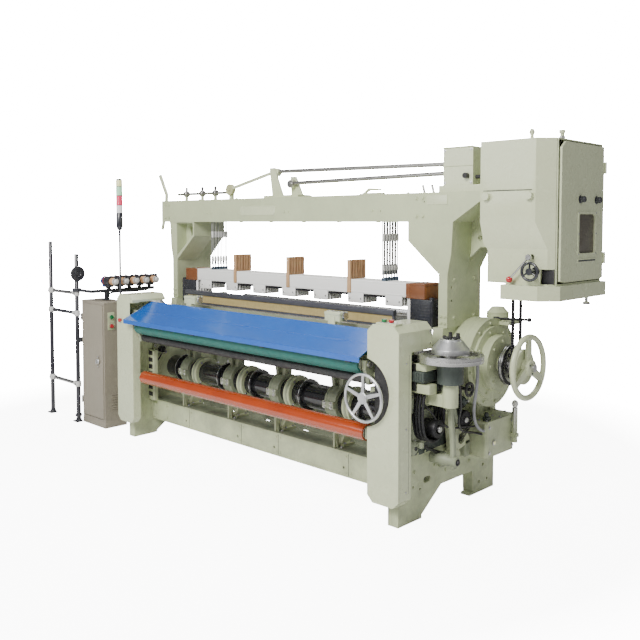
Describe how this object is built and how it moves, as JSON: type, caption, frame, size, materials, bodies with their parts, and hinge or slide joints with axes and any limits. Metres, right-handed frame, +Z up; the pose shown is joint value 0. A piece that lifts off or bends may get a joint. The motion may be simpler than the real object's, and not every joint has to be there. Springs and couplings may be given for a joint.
{
  "type": "power loom",
  "caption": "Flexible rapier power loom with overhead dobby, heald frames, sley, take-up rollers, drive wheel, control cabinet and weft feeders.",
  "frame": {"origin": "on the floor, under the middle of the whole machine", "axes": "+X to the weaver's right, +Y from the weaver towards the warp side, +Z up"},
  "size_m": [4.0676, 1.0679, 1.955],
  "materials": {
    "machine_paint": "semi-gloss pale grey-green machine enamel",
    "cover_paint": "semi-gloss cream sheet enamel",
    "blue_paint": "gloss blue enamel",
    "teal_rubber": "fine-grained teal covering",
    "orange_roller": "glossy orange-brown lacquer",
    "black_metal": "gloss black",
    "steel": "machined steel",
    "silver_wheel": "satin cast aluminium",
    "reed_grey": "dark grey",
    "reed_brass": "fine bright wires",
    "comb_brown": "brown laminate",
    "heald_white": "white satin anodised",
    "cabinet_taupe": "textured taupe powder coat",
    "feeder_black": "black housings",
    "lamp": "coloured lenses on a black base",
    "green_button": "gloss green",
    "red_button": "gloss red"
  },
  "bodies": {
    "loom_frame": {"side_frame_right": "machine_paint", "side_frame_left": "machine_paint", "cross_members": "machine_paint", "breast_cover": "blue_paint", "top_beam": "machine_paint", "column_right": "machine_paint", "column_left": "machine_paint", "dobby_bracket": "machine_paint", "cover_box_right": "cover_paint", "cover_box_left": "cover_paint", "heald_guides": "comb_brown", "temples": "machine_paint", "roller_brackets": "machine_paint", "sley_bearings": "machine_paint", "dobby_chain": "black_metal", "drive_cover": "machine_paint", "gear_case": "machine_paint", "rapier_housings": "machine_paint", "lubrication_pipe": "steel", "dobby_body": "cover_paint", "dobby_front_cover": "cover_paint", "dobby_tray": "cover_paint", "overhead_linkage": "machine_paint", "cabinet_case": "cabinet_taupe", "yarn_stand": "black_metal", "weft_feeders": "feeder_black", "signal_tower": "lamp"},
    "sley": {"rocker_shaft": "black_metal", "shaft_rings": "steel", "sley_swords": "machine_paint", "sley_beam": "black_metal", "reed": "reed_grey", "reed_wires": "reed_brass"},
    "main_drive": {"main_handwheel": "machine_paint", "drive_pulley": "steel"},
    "dobby_input": {"dobby_sprocket": "steel"},
    "take_up_roll": {"take_up_roller": "teal_rubber"},
    "press_roll": {"press_roller": "black_metal"},
    "cloth_roll": {"cloth_roller": "orange_roller"},
    "back_rest_roll": {"back_rest": "machine_paint"},
    "take_up_wheel": {"take_up_handwheel": "silver_wheel"},
    "rapier_right": {"rapier_wheel_right": "silver_wheel"},
    "rapier_left": {"rapier_wheel_left": "silver_wheel"},
    "rapier_lever": {"sector_lever": "machine_paint"},
    "dobby_side_door": {"dobby_door": "cover_paint"},
    "dobby_wheel": {"dobby_handwheel": "black_metal"},
    "dobby_reverse_lever": {"dobby_lever": "steel"},
    "cabinet_front_door": {"cabinet_door": "cabinet_taupe"},
    "cabinet_door_latch": {"cabinet_latch": "steel"},
    "heald_1": {"heald_frame_1": "heald_white"},
    "heald_2": {"heald_frame_2": "heald_white"},
    "heald_3": {"heald_frame_3": "heald_white"},
    "heald_4": {"heald_frame_4": "heald_white"},
    "heald_5": {"heald_frame_5": "heald_white"},
    "heald_6": {"heald_frame_6": "heald_white"},
    "cabinet_start_button_body": {"cabinet_start_button": "green_button"},
    "cabinet_stop_button_body": {"cabinet_stop_button": "red_button"},
    "left_stop_button_body": {"left_stop_button": "red_button"},
    "right_start_button_body": {"right_start_button": "green_button"},
    "right_stop_button_body": {"right_stop_button": "red_button"}
  },
  "joints": [
    {"name": "sley_swing", "type": "hinge", "parent": "loom_frame", "child": "sley", "pos_m": [0.2152, -0.0715, 0.457], "axis": [1, 0, 0], "range_deg": [-2.5, 8]},
    {"name": "main_shaft_turn", "type": "hinge", "parent": "loom_frame", "child": "main_drive", "pos_m": [1.7152, 0.2135, 0.755], "axis": [1, 0, 0], "continuous": true},
    {"name": "dobby_shaft_turn", "type": "hinge", "parent": "loom_frame", "child": "dobby_input", "pos_m": [1.6852, 0.2135, 1.29], "axis": [1, 0, 0], "continuous": true},
    {"name": "take_up_roller_turn", "type": "hinge", "parent": "loom_frame", "child": "take_up_roll", "pos_m": [0.2152, -0.4465, 0.795], "axis": [1, 0, 0], "continuous": true},
    {"name": "press_roller_turn", "type": "hinge", "parent": "loom_frame", "child": "press_roll", "pos_m": [0.2152, -0.4215, 0.712], "axis": [1, 0, 0], "continuous": true},
    {"name": "cloth_roller_turn", "type": "hinge", "parent": "loom_frame", "child": "cloth_roll", "pos_m": [0.2152, -0.4215, 0.44], "axis": [1, 0, 0], "continuous": true},
    {"name": "back_rest_turn", "type": "hinge", "parent": "loom_frame", "child": "back_rest_roll", "pos_m": [0.2152, 0.4835, 0.905], "axis": [1, 0, 0], "continuous": true},
    {"name": "take_up_handwheel_turn", "type": "hinge", "parent": "loom_frame", "child": "take_up_wheel", "pos_m": [1.2712, -0.5185, 0.64], "axis": [0, 1, 0], "continuous": true},
    {"name": "rapier_lever_rock", "type": "hinge", "parent": "loom_frame", "child": "rapier_lever", "pos_m": [1.4552, -0.0215, 0.3], "axis": [1, 0, 0], "range_deg": [-6, 6]},
    {"name": "rapier_wheel_right_turn", "type": "hinge", "parent": "loom_frame", "child": "rapier_right", "pos_m": [1.5952, -0.2495, 0.845], "axis": [0, 0, 1], "range_deg": [-150, 150]},
    {"name": "rapier_wheel_left_turn", "type": "hinge", "parent": "loom_frame", "child": "rapier_left", "pos_m": [-1.1648, -0.0915, 0.845], "axis": [0, 0, 1], "range_deg": [-150, 150]},
    {"name": "dobby_door_open", "type": "hinge", "parent": "loom_frame", "child": "dobby_side_door", "pos_m": [2.0128, 0.5085, 1.5], "axis": [0, 0, 1], "range_deg": [0, 105]},
    {"name": "dobby_handwheel_turn", "type": "hinge", "parent": "loom_frame", "child": "dobby_wheel", "pos_m": [1.9052, -0.0595, 1.266], "axis": [0, 1, 0], "continuous": true},
    {"name": "dobby_lever_swing", "type": "hinge", "parent": "loom_frame", "child": "dobby_reverse_lever", "pos_m": [1.8832, -0.0295, 1.332], "axis": [0, 1, 0], "range_deg": [-4, 25]},
    {"name": "cabinet_door_open", "type": "hinge", "parent": "loom_frame", "child": "cabinet_front_door", "pos_m": [-1.5598, -0.4625, 0.45], "axis": [0, 0, 1], "range_deg": [-100, 0]},
    {"name": "cabinet_latch_turn", "type": "hinge", "parent": "cabinet_front_door", "child": "cabinet_door_latch", "pos_m": [-1.3138, -0.4715, 0.489], "axis": [0, 1, 0], "range_deg": [0, 90]},
    {"name": "heald_1_lift", "type": "slide", "parent": "loom_frame", "child": "heald_1", "axis": [0, 0, 1], "range_m": [-0.04, 0.04]},
    {"name": "heald_2_lift", "type": "slide", "parent": "loom_frame", "child": "heald_2", "axis": [0, 0, 1], "range_m": [-0.04, 0.04]},
    {"name": "heald_3_lift", "type": "slide", "parent": "loom_frame", "child": "heald_3", "axis": [0, 0, 1], "range_m": [-0.04, 0.04]},
    {"name": "heald_4_lift", "type": "slide", "parent": "loom_frame", "child": "heald_4", "axis": [0, 0, 1], "range_m": [-0.04, 0.04]},
    {"name": "heald_5_lift", "type": "slide", "parent": "loom_frame", "child": "heald_5", "axis": [0, 0, 1], "range_m": [-0.04, 0.04]},
    {"name": "heald_6_lift", "type": "slide", "parent": "loom_frame", "child": "heald_6", "axis": [0, 0, 1], "range_m": [-0.04, 0.04]},
    {"name": "cabinet_start_button_press", "type": "slide", "parent": "loom_frame", "child": "cabinet_start_button_body", "axis": [-1, 0, 0], "range_m": [0, 0.004], "stiffness_N_per_m": 400, "springref_m": -0.003},
    {"name": "cabinet_stop_button_press", "type": "slide", "parent": "loom_frame", "child": "cabinet_stop_button_body", "axis": [-1, 0, 0], "range_m": [0, 0.004], "stiffness_N_per_m": 400, "springref_m": -0.003},
    {"name": "left_stop_button_press", "type": "slide", "parent": "loom_frame", "child": "left_stop_button_body", "axis": [0, 1, 0], "range_m": [0, 0.004], "stiffness_N_per_m": 400, "springref_m": -0.003},
    {"name": "right_start_button_press", "type": "slide", "parent": "loom_frame", "child": "right_start_button_body", "axis": [0, 0, -1], "range_m": [0, 0.004], "stiffness_N_per_m": 400, "springref_m": -0.003},
    {"name": "right_stop_button_press", "type": "slide", "parent": "loom_frame", "child": "right_stop_button_body", "axis": [0, 0, -1], "range_m": [0, 0.004], "stiffness_N_per_m": 400, "springref_m": -0.003}
  ],
  "couplings": [
    {"joint": "dobby_shaft_turn", "follows": "main_shaft_turn", "ratio": 1},
    {"joint": "press_roller_turn", "follows": "take_up_roller_turn", "ratio": -2.2},
    {"joint": "take_up_handwheel_turn", "follows": "take_up_roller_turn", "ratio": 20}
  ]
}
